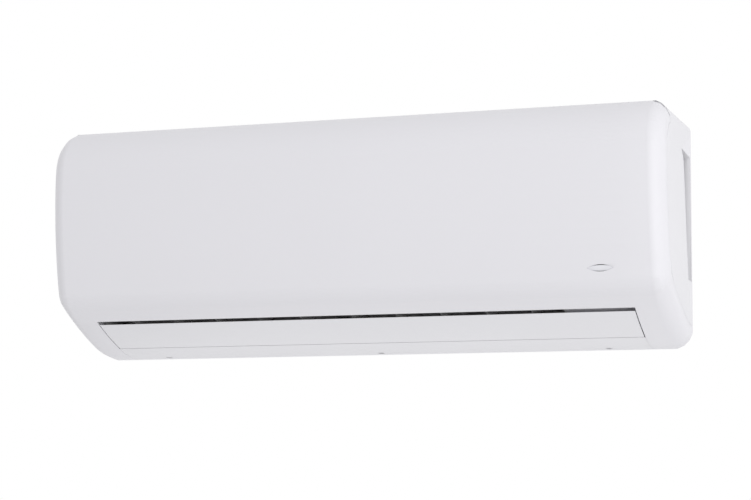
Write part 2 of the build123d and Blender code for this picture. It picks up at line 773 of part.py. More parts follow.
def scroll_wall():
    """The curved wall behind the fan, which opens towards the outlet."""
    near = fan_radius + scroll_gap
    low_z, turn_z = 9.0, 60.0
    stations = ((62, near - 3.0), (31, near - 1.5), (0, near), (-25, near + 2.5))
    inner = [(0, *from_fan(angle, radius)) for angle, radius in stations] + [(0, duct_rear_y, turn_z)]
    outer_y = duct_rear_y + chassis_wall
    outer = [(0, *from_fan(angle, radius + chassis_wall)) for angle, radius in stations]
    outer.append((0, outer_y, turn_z))
    edges = [ThreePointArc(*inner[0:3]), ThreePointArc(*inner[2:5])]
    edges += [Line(inner[4], (0, duct_rear_y, low_z)), Line((0, duct_rear_y, low_z), (0, outer_y, low_z))]
    edges += [Line((0, outer_y, low_z), outer[4]), ThreePointArc(outer[4], outer[3], outer[2])]
    edges += [ThreePointArc(outer[2], outer[1], outer[0]), Line(outer[0], inner[0])]
    wall = extrude(make_face(edges), amount=duct_right - duct_left, dir=(1, 0, 0))
    return Pos(duct_left, 0, 0) * wall


def end_wall(x_span, front_y):
    """A wall across the section that closes the air duct and carries the heat exchanger."""
    zone = block(x_span, (front_y, back_plate_y), (0, end_wall_top))
    wall = full_width(end_wall_inset) & zone
    wall += full_width(floor_inset) & block(x_span, (duct_rear_y, back_plate_y), (0, 30))
    return wall - rod_x(pivot_y, pivot_z, louver_sweep, x_span)


def cradle(x):
    """One of the ribs that the fan motor lies in."""
    span = (x - cradle_width / 2, x + cradle_width / 2)
    rib = block(span, (box_back_y + seat, back_plate_y), (58.0, fan_z))
    post = block(span, (cradle_post_y, back_plate_y), (4.0, 60.0))
    return rib + post - bar_x(fan_y, fan_z, motor_radius + seat, span, round_sides)


left_wall = (duct_left, duct_left + chassis_wall)
right_wall = (duct_right, duct_right + chassis_wall)


def make_rear_chassis():
    """The moulding that everything is mounted on, hung on the wall plate."""
    wide = (-chassis_half, chassis_half)
    back_span = (back_plate_y, back_plate_y + chassis_wall)
    chassis = block(wide, back_span, (back_plate_low, back_plate_high)) + scroll_wall()
    gutter_y = (gutter_lip_y, back_plate_y + 1)
    chassis += block((duct_left, right_wall[1]), gutter_y, (gutter_z, gutter_z + chassis_wall))
    floor_zone = block((duct_left, floor_right), (duct_rear_y, -4.0), (-1, 14))
    chassis += (full_width(floor_inset) - full_width(floor_inset + chassis_wall, 10)) & floor_zone
    chassis += end_wall(left_wall, end_wall_fronts[0]) + end_wall(right_wall, end_wall_fronts[1])
    chassis += [cradle(x) for x in cradle_places]
    # Webs that stiffen the scroll wall above the pipe channel, and bosses for the screws.
    for x in web_places:
        web = (x - chassis_wall / 2, x + chassis_wall / 2)
        chassis += block(web, (-33.0, back_span[1]), (70.0, gutter_z + 1))
    for x in screw_places:
        chassis += bar_z(x, screw_y, screw_boss, (floor_inset + 1.5, screw_boss_top))
    # Drain outlets: the open one at the left, and the spare one that the cap closes.
    chassis += rod_x(drain_y, drain_z, drain_radius, (duct_left - drain_length, left_wall[1]))
    spare = (duct_right, right_wall[1] + drain_length)
    chassis += bar_x(drain_y, drain_z, spare_radius, spare, round_sides)
    chassis -= rod_x(drain_y, drain_z, drain_bore, (duct_left - drain_length - 1, duct_left + 6))
    hole = (duct_right - 1, spare[1] + 1)
    chassis -= bar_x(drain_y, drain_z, spare_radius - 2 * drain_wall, hole)
    # Bores, notches and slots.
    chassis -= bar_x(fan_y, fan_z, 16.0, (duct_left - 1, duct_left + 4), round_sides)
    chassis -= bar_x(fan_y, fan_z, 20.0, (duct_right - 1, duct_right + 4), round_sides)
    for x in screw_places:
        chassis -= bar_z(x, screw_y, screw_shank + running, (0, screw_boss_top + 1), grown=True)
        cup_top = screw_seat + casing_wall + seat
        chassis -= bar_z(x, screw_y, cup_radius + fit_gap, (0, cup_top), grown=True)
    notch = louver_sweep + casing_wall + 2 * seat
    chassis -= rod_x(pivot_y, pivot_z, notch, (right_wall[1], length))
    beside = (duct_right - 1, right_wall[1] + 1)
    channel_z = (liquid_z - liquid_pipe - 4, gas_z + gas_pipe + 3)
    chassis -= block(beside, (gas_y - gas_pipe - 2, -1.0), channel_z)
    chassis -= coil_strip(front_lower_line, 2.0, bend_tube + 2.5, beside)
    chassis -= coil_strip(front_upper_line, 2.0, bend_tube + 2.5, beside)
    chassis -= coil_strip(rear_line, 2.0, fin_pack / 2, beside)
    for x in hook_top_x:
        slot = (hook_top_z - seat, hook_top_z + sheet + hook_rise + 2)
        half = hook_width / 2 + 1
        chassis -= block((x - half, x + half), (back_plate_y - 1, -5.0), slot)
    return chassis


# ================================================================ wall plate
def plate_hook(x, root_z, rise):
    """A tab pressed out of the wall plate, with an upstand that catches the chassis."""
    span = (x - hook_width / 2, x + hook_width / 2)
    leg = block(span, (-hook_reach, 0.0), (root_z, root_z + sheet))
    tip = sorted((root_z + sheet / 2, root_z + sheet / 2 + rise))
    return leg + block(span, (-hook_reach, -hook_reach + sheet), tip)


def make_mounting_plate():
    """Pressed steel plate that is screwed to the wall and carries the unit on its hooks."""
    plate = block(plate_x, (-sheet, 0.0), plate_z)
    plate = chamfer(plate.edges().filter_by(Axis.Y), plate_corner)
    bead_x = (plate_x[0] + 50, plate_x[1] - 50)
    for z in (plate_z[0] + 22, plate_z[1] - 22):
        # Long beads pressed towards the unit stiffen the sheet.
        plate += block(bead_x, (-sheet * 2, -sheet / 2), (z - 5, z + 5))
    plate += [plate_hook(x, hook_top_z, hook_rise) for x in hook_top_x]
    plate += [plate_hook(x, back_plate_low - sheet - seat, hook_rise) for x in hook_low_x]
    middle_z = height / 2
    for x in (-plate_bolts[0] / 2, plate_bolts[0] / 2):
        for z in (middle_z - plate_bolts[1] / 2, middle_z + plate_bolts[1] / 2):
            plate -= rod_y(x, z, plate_hole, (-5, 5))
    return plate


# ================================================================ crossflow fan
def blade(turn):
    """One forward-swept blade, as a strip along the fan."""
    tip = fan_radius - 1.5
    front, back = [], []
    for radius, swing in ((blade_inner, 0.0), (tip, blade_sweep)):
        half = degrees(blade_thick / 2 / radius)
        front.append(from_fan(turn + swing - half, radius))
        back.append(from_fan(turn + swing + half, radius))
    return prism(front + back[::-1], (fan_left + fan_disc / 2, fan_right - fan_disc / 2))


def make_crossflow_fan():
    """A long drum of blades, held by a disc at each end and rings between."""
    step = (fan_right - fan_left - fan_disc) / fan_sections
    discs = []
    for index in range(fan_sections + 1):
        start = fan_left + index * step
        disc = bar_x(fan_y, fan_z, fan_radius, (start, start + fan_disc), round_sides)
        if 0 < index < fan_sections:
            disc -= bar_x(fan_y, fan_z, blade_inner - 3.5, (start - 1, start + fan_disc + 1))
        discs.append(disc)
    fan = joined(discs + [blade(index * 360 / blade_count) for index in range(blade_count)])
    fan += bar_x(fan_y, fan_z, hub_radius, (fan_right - fan_disc, fan_right + 3), round_sides)
    fan += bar_x(fan_y, fan_z, hub_radius, (fan_left + fan_disc / 2, fan_left + 14), round_sides)
    fan -= bar_x(fan_y, fan_z, shaft_radius, (fan_right - 20, fan_right + 5), round_sides)
    bore = (fan_left - 1, fan_left + 12)
    return fan - bar_x(fan_y, fan_z, shaft_radius, bore, round_sides, grown=True)


def make_fan_stub_shaft():
    """Pin in the fan's left end that turns in the bearing."""
    return rod_x(fan_y, fan_z, shaft_radius, (duct_left - 4, fan_left + 12))


def make_fan_bearing():
    """Plain bearing for the fan's left end."""
    ring = bar_x(fan_y, fan_z, 10.0, (duct_left - 2, duct_left + 5), round_sides)
    bore = (duct_left - 3, duct_left + 6)
    return ring - bar_x(fan_y, fan_z, shaft_radius + running, bore, round_sides, grown=True)


def make_bearing_seat():
    """Rubber bush between the bearing and the chassis."""
    ring = bar_x(fan_y, fan_z, 16.0, (duct_left, duct_left + 4), round_sides)
    ring += bar_x(fan_y, fan_z, 19.0, (duct_left - 2.5, duct_left), round_sides)
    return ring - bar_x(fan_y, fan_z, 10.0, (duct_left - 3, duct_left + 5), round_sides)


def make_motor_shaft():
    """Shaft from the motor into the fan's right end."""
    return bar_x(fan_y, fan_z, shaft_radius, (fan_right - 20, motor_left + 30), round_sides)


def make_fan_motor():
    """The fan's motor, in a drawn shell with a nose at each end."""
    motor = bar_x(fan_y, fan_z, motor_radius, (motor_left + 4, motor_right - 4), round_sides)
    motor = chamfer(motor.faces().sort_by(Axis.X)[0].edges(), 4.0)
    motor += bar_x(fan_y, fan_z, motor_nose, (motor_left, motor_left + 5), round_sides)
    motor += bar_x(fan_y, fan_z, motor_nose, (motor_right - 5, motor_right), round_sides)
    bore = (motor_left - 1, motor_left + 31)
    return motor - bar_x(fan_y, fan_z, shaft_radius + fit_gap, bore, grown=True)


def make_motor_clamp():
    """Half band over the motor, screwed down to the cradle ribs."""
    x_span = (cradle_places[0] - 2, cradle_places[1] + 2)
    ring = bar_x(fan_y, fan_z, motor_radius + 3, x_span, round_sides)
    ring -= bar_x(fan_y, fan_z, motor_radius + seat, x_span, round_sides)
    ring &= block(x_span, (fan_y - 60, fan_y + 60), (fan_z + seat, fan_z + 60))
    for side in (-1, 1):
        ears = sorted((fan_y + side * (motor_radius + 1), fan_y + side * (motor_radius + 7)))
        ring += block(x_span, ears, (fan_z + seat, fan_z + 3))
    return ring


# ================================================================ heat exchanger
def coil_frame(line):
    """Length of a section's centreline, its direction and the direction out to the air inlet."""
    (low_y, low_z), (high_y, high_z) = line
    run = ((high_y - low_y) ** 2 + (high_z - low_z) ** 2) ** 0.5
    along = ((high_y - low_y) / run, (high_z - low_z) / run)
    return run, along, (-along[1], along[0])


def coil_point(line, distance, offset):
    """The point (y, z) at a distance along a section, set out from its centreline."""
    _, along, outward = coil_frame(line)
    y, z = line[0]
    return y + along[0] * distance + outward[0] * offset, z + along[1] * distance + outward[1] * offset


def coil_strip(line, overhang, half, x_span):
    """A straight slab along a section: past its ends by overhang, and half as thick again."""
    run = coil_frame(line)[0]
    stations = ((-overhang, -half), (-overhang, half), (run + overhang, half), (run + overhang, -half))
    return prism([coil_point(line, distance, offset) for distance, offset in stations], x_span)


def coil_section(line):
    """A pack of fins between the end plates, with a groove between groups of fins."""
    run = coil_frame(line)[0]
    step = (coil_right - coil_left) / (fin_groove_count + 1)
    near, far = fin_pack / 2 - 1.5, fin_pack
    stations = ((-1, near), (-1, far), (run + 1, far), (run + 1, near))
    groove = [coil_point(line, distance, offset) for distance, offset in stations]
    middles = [coil_left + index * step for index in range(1, fin_groove_count + 1)]
    grooves = [prism(groove, (x - fin_groove / 2, x + fin_groove / 2)) for x in middles]
    return coil_strip(line, 0.0, fin_pack / 2, (coil_left, coil_right)) - grooves


def make_coil_plate(x_span):
    """End plate: it follows the three fin packs in one bent sheet."""
    half = fin_pack / 2 + plate_margin
    plate = coil_strip(front_lower_line, 1.0, half, x_span)
    plate += coil_strip(front_upper_line, 5.0, half, x_span)
    plate += coil_strip(rear_line, 5.0, half, x_span)
    for first, second in ((front_lower_line, front_upper_line), (front_upper_line, rear_line)):
        ends = ((first, coil_frame(first)[0] - 2), (second, 2))
        corners = [coil_point(line, distance, -half) for line, distance in ends]
        corners += [coil_point(line, distance, half - 4) for line, distance in ends[::-1]]
        plate += prism(corners, x_span)
    return plate


def bent_bar(points, radius):
    """A tube with flats along a bent line."""
    start, after = Vector(*points[0]), Vector(*points[1])
    section = Plane(origin=start, z_dir=after - start) * RegularPolygon(radius, small_sides)
    return sweep(section, path=Polyline(*points), transition=Transition.RIGHT)


def make_coil_bends():
    """Hairpin bends that join the tubes outside the right end plate."""
    face = coil_right + coil_sheet
    bends = []
    for line in (front_lower_line, front_upper_line, rear_line):
        run = coil_frame(line)[0]
        for share in bend_places:
            near = [coil_point(line, run * share + side * bend_pitch, 0.0) for side in (-1, 1)]
            far = [coil_point(line, run * share + side * bend_pitch / 2, 0.0) for side in (-1, 1)]
            points = [(face, *near[0]), (face + bend_reach / 2, *near[0]), (face + bend_reach, *far[0])]
            points += [(face + bend_reach, *far[1]), (face + bend_reach / 2, *near[1]), (face, *near[1])]
            bends.append(bent_bar(points, bend_tube))
    return joined(bends)


def make_coil_sensor():
    """Temperature probe clipped to the front of the right end plate."""
    y, z = coil_point(front_upper_line, 2.0, 7.0)
    return bar_x(y, z, 3.0, (coil_right + coil_sheet, coil_right + coil_sheet + 26))


# ================================================================ pipework
def eased(points, cut):
    """The same run of points, with each corner cut off."""
    run = [points[0]]
    for before, corner, after in zip(points, points[1:], points[2:]):
        for end in (before, after):
            way = Vector(*end) - Vector(*corner)
            run.append(tuple(Vector(*corner) + way.normalized() * cut))
    return run + [points[-1]]


def make_tube(offset, back_y, low_z, end_x, radius):
    """A tube from the rear fins, down behind the fan motor and along the channel to its union."""
    y, z = coil_point(rear_line, coil_frame(rear_line)[0] * coil_port, offset)
    points = [(coil_right + coil_sheet, y, z), (riser_x, y, z), (riser_x, back_y, riser_z)]
    points += [(riser_x, back_y, low_z), (end_x, back_y, low_z)]
    return bent_bar(eased(points, pipe_corner * 2 / 3), radius)


def make_union(x, y, z, thread):
    """Flare union on a tube's free end: a hexagon, then the threaded nose."""
    body = bar_x(y, z, union_hex, (x - union_body, x), 6)
    return body + rod_x(y, z, thread, (x - union_body - thread_length, x - union_body))


def make_pipe_clamp():
    """Moulded block across the pipe channel that holds both tubes down."""
    span = (clamp_x - clamp_width / 2, clamp_x + clamp_width / 2)
    saddle = block(span, (gas_y - 9, -9.0), (8.0, gas_z + 10))
    hook = (duct_rear_y + chassis_wall + seat, gas_y)
    saddle += block(span, hook, (gas_z + 5, gas_z + 10))
    saddle -= bar_x(gas_y, gas_z, gas_pipe + seat, span, round_sides, grown=True)
    return saddle - bar_x(liquid_y, liquid_z, liquid_pipe + seat, span, round_sides, grown=True)


# ================================================================ drain
def make_drain_pan():
    """Trough under the front of the heat exchanger, with the fan's front lip on its rear wall."""
    span = (left_wall[1] + seat, duct_right - seat)
    low = outlet_facing(flange_y - 1)
    pan = band(pan_inset, pan_inset + pan_wall, pan_start, low, span)
    foot = skin_point(low, pan_inset)
    lip = [foot, (foot[0] + 2.4, foot[1] + 18)]
    lip += [from_fan(pan_lip_turn, fan_radius + 2.7), from_fan(pan_lip_turn, fan_radius + 4.2)]
    lip += [(foot[0] - 0.4, foot[1] + 20), skin_point(outlet_facing(flange_y - 6), pan_inset + pan_wall)]
    pan += prism(lip, span)
    corners = [skin_point(angle, pan_inset + 0.5) for angle in (bend_start + 6, (bend_start + bend_end) / 2)]
    corners += [skin_point(bend_end, pan_inset + 0.5), foot, (foot[0] + 1.0, foot[1] + 18)]
    for x in (span[0], span[1] - pan_wall):
        end = (x, x + pan_wall)
        pan += prism(corners, end) - coil_strip(front_lower_line, 4.0, fin_pack, end)
    return pan


def make_drain_plug():
    """Rubber cap over the spare drain outlet."""
    start = right_wall[1] + 6
    end = right_wall[1] + drain_length
    cap = bar_x(drain_y, drain_z, spare_radius + cap_wall, (start, end + cap_wall + seat), round_sides)
    cap += bar_x(drain_y, drain_z, spare_radius + cap_wall + 0.8, (start, start + 2), round_sides)
    bore = (start - 1, end + seat)
    return cap - bar_x(drain_y, drain_z, spare_radius + running, bore, round_sides, grown=True)


# ================================================================ vanes
def vane_places(side):
    """Where the vanes of the left (-1) or right (1) set stand, from left to right."""
    return sorted(middle_x + side * vane_pitch * (index + 0.6) for index in range(vane_count))


def make_vane(x, leader):
    """One upright vane: pinned at the rear, notched for the link bar."""
    front_y, heel = slit_y + 10, pivot_y - 22
    low_z, high_z = vane_axis_z - 12, vane_axis_z + 12
    points = [(front_y, outlet_z(front_y) + 10), (heel, outlet_z(heel) + 11.8), (heel + 6, low_z)]
    points += [(vane_rear_y, low_z), (vane_rear_y, high_z), (front_y + 18, high_z)]
    points += [(front_y, high_z + 6)]
    vane = prism(points, (x - vane_thick / 2, x + vane_thick / 2))
    notch = (link_y - link_width, link_y + link_width)
    vane -= block((x - 3, x + 3), notch, (vane_axis_z + 4, high_z + 8))
    vane += rod_y(x, vane_axis_z, vane_pin, (vane_rear_y, duct_rear_y - seat - 1))
    bar = rod_y if leader else bar_y
    vane += bar(x, vane_axis_z + link_arm, link_pin, (notch[0] - 1, notch[1] + 1))
    if leader:
        # A finger tab on the first vane of the set moves them all.
        tab_z = outlet_z(front_y) + 6
        vane += block((x - 1.2, x + 1.2), (front_y + 0.5, front_y + 10), (tab_z, tab_z + 11))
    return vane


def make_link_bar(side):
    """The bar that keeps one set of vanes parallel."""
    places = vane_places(side)
    link_z = vane_axis_z + link_arm
    y_span = (link_y - link_width / 2, link_y + link_width / 2)
    bar = block((places[0] - 6, places[-1] + 6), y_span, (link_z - 2.5, link_z + 2.5))
    return bar - [bar_y(x, link_z, link_pin + running, y_span, grown=True) for x in places]


def make_vane_rail(side):
    """Strip on the duct's rear wall with a bearing hole for each vane."""
    places = vane_places(side)
    y_span = (duct_rear_y - seat - rail_depth, duct_rear_y - seat)
    z_span = (vane_axis_z - rail_height / 2, vane_axis_z + rail_height / 2 - 2)
    rail = block((places[0] - 12, places[-1] + 12), y_span, z_span)
    bore = (y_span[0] - 1, y_span[1] - 0.6)
    return rail - [bar_y(x, vane_axis_z, vane_pin + running, bore, grown=True) for x in places]


# ================================================================ filters
def filter_line(inset, low_angle):
    """The filter's run: flat under the grille, round the front, down to its lower edge."""
    back = (0, filter_back_y, filter_top - inset)
    turn = (0, filter_turn_y, filter_top - inset)
    radius = filter_turn - inset
    corner = (0, filter_turn_y - radius, filter_top - filter_turn)
    mid_y, mid_z = facing(45)
    middle = (0, filter_turn_y + radius * mid_y, filter_top - filter_turn + radius * mid_z)
    halfway, low = [(0, *skin_point(stop, filter_inset + inset)) for stop in ((90 + low_angle) / 2, low_angle)]
    edges = [Line(back, turn), ThreePointArc(turn, middle, corner), ThreePointArc(corner, halfway, low)]
    return edges, back, low


def filter_shell(outer, inner, low_angle, x_span):
    """A sheet along the filter's run, between two depths."""
    first, back_out, low_out = filter_line(outer, low_angle)
    second, back_in, low_in = filter_line(inner, low_angle)
    face = make_face(first + second + [Line(back_out, back_in), Line(low_out, low_in)])
    return Pos(x_span[0], 0, 0) * extrude(face, amount=x_span[1] - x_span[0], dir=(1, 0, 0))


def make_filter_frame(span):
    """A frame of flat bars that holds the net."""
    frame = filter_shell(0, filter_thick, filter_low_angle, span)
    step = (span[1] - span[0] - filter_bar) / filter_columns
    low, high = window_low - 1, height - 79.0
    middle = (low + high) / 2
    turn_y, back_y = filter_turn_y + 7, filter_back_y - 10
    flat_middle = (turn_y + back_y) / 2
    gaps = [((front_zone[0], front_zone[1] - 10), span_z) for span_z in ((low, middle - 3), (middle + 3, high))]
    top_z = (filter_top - 19, filter_top + 11)
    gaps += [((turn_y, flat_middle - 3), top_z), ((flat_middle + 3, back_y), top_z)]
    for column in range(filter_columns):
        start = span[0] + filter_bar + column * step
        frame -= [block((start, start + step - filter_bar), y_span, z_span) for y_span, z_span in gaps]
    return frame


def make_filter_mesh(span):
    """The fine net behind the frame's bars."""
    inside = (span[0] + 2, span[1] - 2)
    return filter_shell(filter_thick, filter_thick + filter_net, filter_low_angle - 0.2, inside)


# ================================================================ electrics
def board_span():
    """The control board's edges in x and z, above the terminal block."""
    x_span = (box_x[0] + board_margin, box_x[1] - board_margin)
    z_span = (box_z[0] + box_wall + terminal_height + 6, box_z[1] - board_margin)
    return x_span, z_span


def board_posts():
    """Where the board's four posts stand."""
    x_span, z_span = board_span()
    return [(x, z) for x in (x_span[0] + 5, x_span[1] - 5) for z in (z_span[0] + 5, z_span[1] - 5)]


def make_electrical_box():
    """The tray that holds the control board and the terminals, open to the front."""
    tray = block(box_x, (box_front_y, box_back_y), box_z)
    inside = [(span[0] + box_wall, span[1] - box_wall) for span in (box_x, box_z)]
    tray -= block(inside[0], (box_front_y - 1, box_back_y - box_wall), inside[1])
    post = (box_back_y - box_wall - post_height, box_back_y - 1)
    return tray + [bar_y(x, z, post_radius, post) for x, z in board_posts()]


def make_control_board():
    """Circuit board with its relay, capacitor, fuse and plug rows."""
    x_span, z_span = board_span()
    back = box_back_y - box_wall - post_height
    front = back - board_thick
    board = block(x_span, (front, back), z_span)
    relay_z = (z_span[0] + 8, z_span[0] + 26)
    board += block((x_span[0] + 8, x_span[0] + 28), (front - 9, front), relay_z)
    board += bar_y(x_span[1] - 18, z_span[0] + 20, 8.0, (front - 10, front), round_sides)
    plugs_z = (z_span[1] - 18, z_span[1] - 10)
    return board + block((x_span[0] + 8, x_span[1] - 8), (front - 6, front), plugs_z)


def make_terminal_block():
    """Screw terminals for the supply, at the bottom of the box."""
    z_span = (box_z[0] + box_wall, box_z[0] + box_wall + terminal_height)
    x_span = (box_x[0] + 12, box_x[0] + 12 + terminal_span)
    back = box_back_y - box_wall
    terminals = block(x_span, (back - 14, back), z_span)
    pitch = terminal_span / 4
    for index in range(4):
        middle = x_span[0] + pitch * (index + 0.5)
        notch = (middle - pitch / 2 + 1.5, middle + pitch / 2 - 1.5)
        terminals -= block(notch, (back - 15, back - 9), (z_span[0] + 3, z_span[1] - 3))
    return terminals


def make_box_cover():
    """Flat lid on the front of the electrical box."""
    return block(box_x, (box_front_y - seat - cover_thick, box_front_y - seat), box_z)


def make_box_screws():
    """Screws at the cover's upper corners."""
    y = box_front_y - seat - cover_thick
    return joined(bar_y(x, box_z[1] - 8, 3.2, (y - 1.6, y)) for x in (box_x[0] + 8, box_x[1] - 8))


def make_display_board():
    """Small board with the receiver and the indicator lamps, behind the window."""
    width, tall = display_size
    low_edge = face_facing(lens_z - tall / 2)
    y = skin_point(low_edge, behind_panel + casing_wall)[0] + 1.8
    x_span = (lens_x - width / 2, lens_x + width / 2)
    board = block(x_span, (y, y + board_thick), (lens_z - tall / 2, lens_z + tall / 2))
    board += bar_y(lens_x + 5, lens_z, 2.6, (y - 4.0, y))
    board += block((lens_x - 12, lens_x - 4), (y - 2.0, y), (lens_z - 1.5, lens_z + 1.5))
    return board + [bar_y(x, lens_z - 6, 1.5, (y - 1.5, y)) for x in (x_span[0] + 2.5, x_span[1] - 2.5)]


def make_manual_button():
    """Push button for running the unit without its remote control."""
    face = skin_point(face_facing(button_z), behind_panel)[0]
    stop = box_front_y - seat - cover_thick - fit_gap - button_travel
    button = bar_y(button_x, button_z, button_radius, (face - 0.6, stop), round_sides)
    flange = face + casing_wall + 2.0
    return button + bar_y(button_x, button_z, button_radius + 2, (flange, flange + 1.5), round_sides)


# ================================================================ screws
def make_casing_screw(x):
    """A screw that holds the casing's underside to the chassis."""
    head = bar_z(x, screw_y, screw_head, (screw_seat - screw_head_thick, screw_seat))
    return head + bar_z(x, screw_y, screw_shank, (screw_seat - 1, screw_boss_top - 2))


# ================================================================ all pieces
save("mounting_plate", make_mounting_plate())
save("rear_chassis", make_rear_chassis())
save("front_casing", make_front_casing())
save("top_grille", make_top_grille())
save("front_panel", make_front_panel())
save("receiver_window", make_receiver_window())
save("louver", make_louver())
save("louver_motor_shaft", make_louver_motor_shaft())
save("louver_motor", make_louver_motor())
save("louver_support", make_louver_support())
save("crossflow_fan", make_crossflow_fan())
save("fan_stub_shaft", make_fan_stub_shaft())
save("motor_shaft", make_motor_shaft())
save("fan_bearing", make_fan_bearing())
save("bearing_seat", make_bearing_seat())
save("fan_motor", make_fan_motor())
save("motor_clamp", make_motor_clamp())
save("coil_front_lower", coil_section(front_lower_line))
save("coil_front_upper", coil_section(front_upper_line))
save("coil_rear", coil_section(rear_line))
save("coil_plate_left", make_coil_plate((coil_left - coil_sheet, coil_left)))
save("coil_plate_right", make_coil_plate((coil_right, coil_right + coil_sheet)))
save("coil_bends", make_coil_bends())
save("coil_sensor", make_coil_sensor())
save("gas_tube", make_tube(gas_offset, gas_y, gas_z, gas_end_x, gas_pipe))
save("liquid_tube", make_tube(liquid_offset, liquid_y, liquid_z, liquid_end_x, liquid_pipe))
save("gas_union", make_union(gas_end_x, gas_y, gas_z, gas_thread))
save("liquid_union", make_union(liquid_end_x, liquid_y, liquid_z, liquid_thread))
save("pipe_clamp", make_pipe_clamp())
save("drain_pan", make_drain_pan())
save("drain_plug", make_drain_plug())
for side, word in ((-1, "left"), (1, "right")):
    for number, x in enumerate(vane_places(side), 1):
        save("vane_" + word + "_" + str(number), make_vane(x, number == 1))
    save("link_bar_" + word, make_link_bar(side))
    save("vane_rail_" + word, make_vane_rail(side))
for span, word in zip(filter_spans, ("left", "right")):
    save("air_filter_" + word, make_filter_frame(span))
    save("filter_mesh_" + word, make_filter_mesh(span))
save("electrical_box", make_electrical_box())
save("control_board", make_control_board())
save("terminal_block", make_terminal_block())
save("box_cover", make_box_cover())
save("box_screws", make_box_screws())
save("display_board", make_display_board())
save("manual_button", make_manual_button())
save("casing_screws", joined(make_casing_screw(x) for x in screw_places))
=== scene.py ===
import json
from math import cos, radians, sin

import bpy
from mathutils import Matrix, Vector


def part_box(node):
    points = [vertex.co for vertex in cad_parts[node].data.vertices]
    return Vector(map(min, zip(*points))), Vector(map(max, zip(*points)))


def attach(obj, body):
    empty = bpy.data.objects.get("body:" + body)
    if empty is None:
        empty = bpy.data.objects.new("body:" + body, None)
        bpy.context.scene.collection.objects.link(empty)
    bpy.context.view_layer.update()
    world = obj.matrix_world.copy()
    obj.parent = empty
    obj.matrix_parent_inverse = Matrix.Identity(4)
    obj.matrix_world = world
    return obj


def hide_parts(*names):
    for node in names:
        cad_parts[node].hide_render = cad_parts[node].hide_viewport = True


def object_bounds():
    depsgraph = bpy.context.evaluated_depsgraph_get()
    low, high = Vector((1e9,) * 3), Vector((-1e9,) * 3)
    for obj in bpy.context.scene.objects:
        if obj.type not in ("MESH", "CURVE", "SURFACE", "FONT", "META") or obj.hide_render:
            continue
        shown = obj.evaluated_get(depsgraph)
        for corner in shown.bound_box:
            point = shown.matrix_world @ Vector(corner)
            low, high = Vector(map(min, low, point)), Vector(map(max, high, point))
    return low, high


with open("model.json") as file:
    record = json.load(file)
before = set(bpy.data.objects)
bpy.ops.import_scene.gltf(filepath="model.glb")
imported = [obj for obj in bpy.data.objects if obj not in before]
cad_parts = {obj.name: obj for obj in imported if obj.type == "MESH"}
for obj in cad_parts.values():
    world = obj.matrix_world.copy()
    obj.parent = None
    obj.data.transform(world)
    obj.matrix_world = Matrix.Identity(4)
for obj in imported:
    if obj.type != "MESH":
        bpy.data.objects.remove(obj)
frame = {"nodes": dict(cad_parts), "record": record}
cad_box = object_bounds()


# ---- Wall plate
# Pressed sheet steel, 1.2 mm, galvanised. It is screwed to the wall through its outer holes,
# and the unit's back hangs on its turned-out hooks.
class Tone:
    """A value that varies over a surface. Arithmetic on it adds Math nodes."""

    def __init__(self, tree, socket=None):
        self.tree = tree
        self.socket = socket

    def node(self, kind, settings, values, output=0):
        """Adds any node: its type, its settings, then the values or links of its sockets."""
        made = self.tree.nodes.new("ShaderNode" + kind)
        for name, value in settings.items():
            setattr(made, name, value)
        for name, value in values.items():
            if isinstance(value, Tone):
                self.tree.links.new(value.socket, made.inputs[name])
            else:
                made.inputs[name].default_value = value
        return Tone(self.tree, made.outputs[output])

    def math(self, operation, first, second):
        return self.node("Math", {"operation": operation}, {0: first, 1: second})

    def __add__(self, other):
        return self.math("ADD", self, other)

    def __sub__(self, other):
        return self.math("SUBTRACT", self, other)

    def __rsub__(self, other):
        return self.math("SUBTRACT", other, self)

    def __mul__(self, other):
        return self.math("MULTIPLY", self, other)

    __radd__ = __add__
    __rmul__ = __mul__

    def mixed(self, share, other):
        """This much of one value, and the rest of another."""
        return self * share + other * (1 - share)

    def between(self, low, high):
        """A number from low to high as this value goes from 0 to 1."""
        return self * (high - low) + low

    def blend(self, low, high):
        """A colour from low to high as this value goes from 0 to 1."""
        factor, low_end, high_end, colour = 0, 6, 7, 2  # the Mix node's sockets for colours
        ends = {factor: self, low_end: (*low, 1.0), high_end: (*high, 1.0)}
        return self.node("Mix", {"data_type": "RGBA"}, ends, output=colour)

    def noise(self, scale, detail=2.0):
        return self.node("TexNoise", {}, {"Vector": self, "Scale": scale, "Detail": detail})

    def stretched(self, x, y, z):
        """The same place, measured with its own scale along each axis."""
        return self.node("Mapping", {}, {"Vector": self, "Scale": (x, y, z)})

    def stripes(self, axis, pitch, width):
        """Soft-edged stripes across one axis, 1 on each stripe and 0 between."""
        softness = 0.2
        along = self.node("SeparateXYZ", {}, {"Vector": self}, output=axis)
        wave = self.math("PINGPONG", along * (1.0 / pitch), 0.5)
        edge = width / pitch / 2
        ends = {
            "From Min": edge * (1 - softness),
            "From Max": edge * (1 + softness),
            "To Min": 1.0,
            "To Max": 0.0,
        }
        return self.node("MapRange", {}, {"Value": wave, **ends})


def finish(name, roughness, metal=0.0, **constants):
    """A new material, with its shader and the place on the piece that its patterns follow."""
    material = bpy.data.materials.new(name)
    material.use_nodes = True
    tree = material.node_tree
    shader = tree.nodes["Principled BSDF"]
    shader.inputs["Roughness"].default_value = roughness
    shader.inputs["Metallic"].default_value = metal
    for socket, value in constants.items():
        shader.inputs[socket.replace("_", " ")].default_value = value
    return material, shader, Tone(tree).node("TexCoord", {}, {}, output="Object")


def feed(shader, height, relief, strength, **varying):
    """Joins what varies to the shader: its sockets by name, and a height that tilts the light."""
    levels = {"Height": height, "Distance": relief, "Strength": strength}
    bump = height.node("Bump", {}, levels)
    for socket, tone in {"Normal": bump, **varying}.items():
        height.tree.links.new(tone.socket, shader.inputs[socket.replace("_", " ")])


